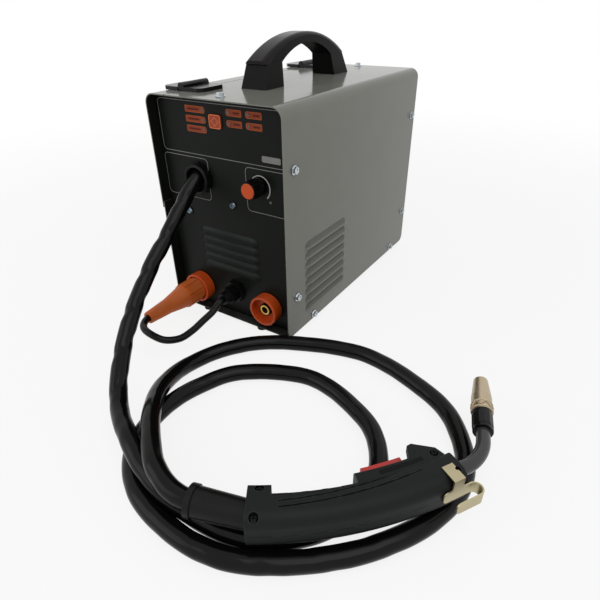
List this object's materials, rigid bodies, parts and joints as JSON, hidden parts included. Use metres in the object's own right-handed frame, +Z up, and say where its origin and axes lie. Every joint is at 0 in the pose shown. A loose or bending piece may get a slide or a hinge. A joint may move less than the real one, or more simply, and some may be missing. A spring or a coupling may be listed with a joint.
{
  "type": "mig welding machine",
  "caption": "Portable inverter wire-feed welding machine with a top handle, opening side door, torch on its hose and a plugged polarity lead.",
  "frame": {"origin": "floor plane under the centre of the case footprint", "axes": "+Z up, -Y out of the front panel, +X to the right seen from the front"},
  "size_m": [0.4488, 0.6211, 0.324],
  "materials": {
    "cover_paint": "satin warm grey powder coat",
    "panel_paint": "satin black powder coat",
    "pan_steel": "dark coated sheet steel",
    "zinc_sheet": "zinc plated sheet steel",
    "foot_rubber": "matte rubber",
    "zinc_screws": "bright zinc plate",
    "handle_plastic": "textured moulded plastic",
    "cap_plastic": "semi-gloss moulded plastic",
    "hinge_plastic": "black moulded plastic",
    "fitting_plastic": "black moulded plastic",
    "collar_orange": "moulded orange plastic",
    "boot_orange": "soft moulded orange rubber",
    "knob_orange": "moulded orange plastic",
    "rocker_red": "moulded red plastic",
    "lens_plastic": "unlit lens",
    "brass": "machined brass",
    "shaft_steel": "turned steel",
    "pot_body": "phenolic body",
    "board_green": "circuit board",
    "sink_aluminium": "extruded aluminium",
    "winding_copper": "varnished core and coils",
    "motor_steel": "plated steel can",
    "arm_plastic": "glass filled plastic",
    "spool_plastic": "black moulded plastic",
    "welding_wire": "copper coated steel wire",
    "torch_plastic": "fine textured charcoal plastic",
    "trigger_red": "moulded red plastic",
    "switch_black": "moulded switch body",
    "sleeve_rubber": "soft black rubber",
    "neck_jacket": "dark coated tube",
    "insulator_black": "moulded insulator",
    "nozzle_metal": "warm nickel plate",
    "tip_copper": "copper",
    "hook_metal": "yellow passivated steel strip",
    "hose_rubber": "glossy black hose jacket",
    "lead_rubber": "black cable jacket"
  },
  "bodies": {
    "machine": {"base_pan": "pan_steel", "cover": "cover_paint", "lower_side_panel": "cover_paint", "front_panel": "panel_paint", "rear_panel": "panel_paint", "partition": "zinc_sheet", "feet": "foot_rubber", "cover_screws": "zinc_screws", "pan_head_screws": "zinc_screws", "handle_arch": "handle_plastic", "handle_cap": "cap_plastic", "hinge_cover_leaves": "hinge_plastic", "hinge_pins": "zinc_screws", "outlet_nut": "fitting_plastic", "socket_collars": "collar_orange", "socket_contacts": "brass", "polarity_gland": "fitting_plastic", "indicator_lenses": "lens_plastic", "potentiometer": "pot_body", "rocker_housing": "fitting_plastic", "mains_gland": "fitting_plastic", "fan_frame": "fitting_plastic", "power_board": "board_green", "heat_sinks": "sink_aluminium", "transformer": "winding_copper", "feed_plate": "sink_aluminium", "feed_motor": "motor_steel", "wire_guides": "brass", "spool_hub": "arm_plastic", "spool_nut": "fitting_plastic", "handle_shell_left": "torch_plastic", "handle_shell_right": "torch_plastic", "trigger_switch": "switch_black", "cable_sleeve": "sleeve_rubber", "swan_neck": "neck_jacket", "neck_insulator": "insulator_black", "gas_nozzle": "nozzle_metal", "contact_tip": "tip_copper", "torch_hook": "hook_metal", "torch_hose": "hose_rubber", "polarity_lead": "lead_rubber", "plug_boot": "boot_orange", "plug_pin": "brass"},
    "door": {"side_door": "cover_paint", "hinge_door_leaves": "hinge_plastic"},
    "latch": {"door_latch": "hinge_plastic"},
    "button": {"mode_button": "knob_orange"},
    "knob": {"current_knob": "fitting_plastic", "knob_cap": "knob_orange", "knob_shaft": "shaft_steel"},
    "rocker": {"power_rocker": "rocker_red"},
    "fan": {"fan_impeller": "fitting_plastic"},
    "feed_roll": {"drive_roll": "shaft_steel"},
    "arm": {"pressure_arm": "arm_plastic"},
    "idler": {"pressure_roll": "shaft_steel"},
    "tension_lever": {"tension_rod": "shaft_steel"},
    "tension_nut": {"tension_knob": "fitting_plastic"},
    "spool": {"wire_spool": "spool_plastic", "wire_winding": "welding_wire"},
    "trigger": {"trigger": "trigger_red"}
  },
  "joints": [
    {"name": "door_hinge", "type": "hinge", "parent": "machine", "child": "door", "pos_m": [-0.063, 0, 0.2755], "axis": [0, 1, 0], "range_deg": [0, 170]},
    {"name": "latch_turn", "type": "hinge", "parent": "door", "child": "latch", "pos_m": [-0.093, 0, 0.1515], "axis": [-1, 0, 0], "range_deg": [0, 90]},
    {"name": "mode_button_press", "type": "slide", "parent": "machine", "child": "button", "axis": [0, 1, 0], "range_m": [0, 0.0008], "stiffness_N_per_m": 1500, "springref_m": -0.0003},
    {"name": "current_knob_turn", "type": "hinge", "parent": "machine", "child": "knob", "pos_m": [0.0503, -0.157, 0.1853], "axis": [0, -1, 0], "range_deg": [-150, 150]},
    {"name": "power_rocker_tilt", "type": "hinge", "parent": "machine", "child": "rocker", "pos_m": [0.045, 0.16, 0.215], "axis": [-1, 0, 0], "range_deg": [0, 20]},
    {"name": "fan_spin", "type": "hinge", "parent": "machine", "child": "fan", "pos_m": [0.04, 0.15, 0.075], "axis": [0, 1, 0], "continuous": true},
    {"name": "feed_roll_spin", "type": "hinge", "parent": "machine", "child": "feed_roll", "pos_m": [-0.036, -0.092, 0.1658], "axis": [1, 0, 0], "continuous": true},
    {"name": "pressure_arm_lift", "type": "hinge", "parent": "machine", "child": "arm", "pos_m": [-0.036, -0.114, 0.1964], "axis": [1, 0, 0], "range_deg": [0, 55]},
    {"name": "idler_spin", "type": "hinge", "parent": "arm", "child": "idler", "pos_m": [-0.036, -0.092, 0.1924], "axis": [1, 0, 0], "continuous": true},
    {"name": "tension_lever_swing", "type": "hinge", "parent": "machine", "child": "tension_lever", "pos_m": [-0.05, -0.07, 0.161], "axis": [1, 0, 0], "range_deg": [0, 70]},
    {"name": "tension_knob_turn", "type": "hinge", "parent": "tension_lever", "child": "tension_nut", "pos_m": [-0.05, -0.01362, 0.18152], "axis": [0, 0.9397, 0.342], "range_deg": [-360, 360]},
    {"name": "spool_spin", "type": "hinge", "parent": "machine", "child": "spool", "pos_m": [-0.041, 0.062, 0.2], "axis": [1, 0, 0], "continuous": true},
    {"name": "trigger_pull", "type": "hinge", "parent": "machine", "child": "trigger", "pos_m": [0.29669, -0.29823, 0.035], "axis": [0, 0, 1], "range_deg": [0, 5.5], "stiffness_Nm_per_rad": 0.8, "springref_deg": -5.73}
  ],
  "couplings": [
    {"joint": "idler_spin", "follows": "feed_roll_spin", "ratio": -1.3636}
  ]
}
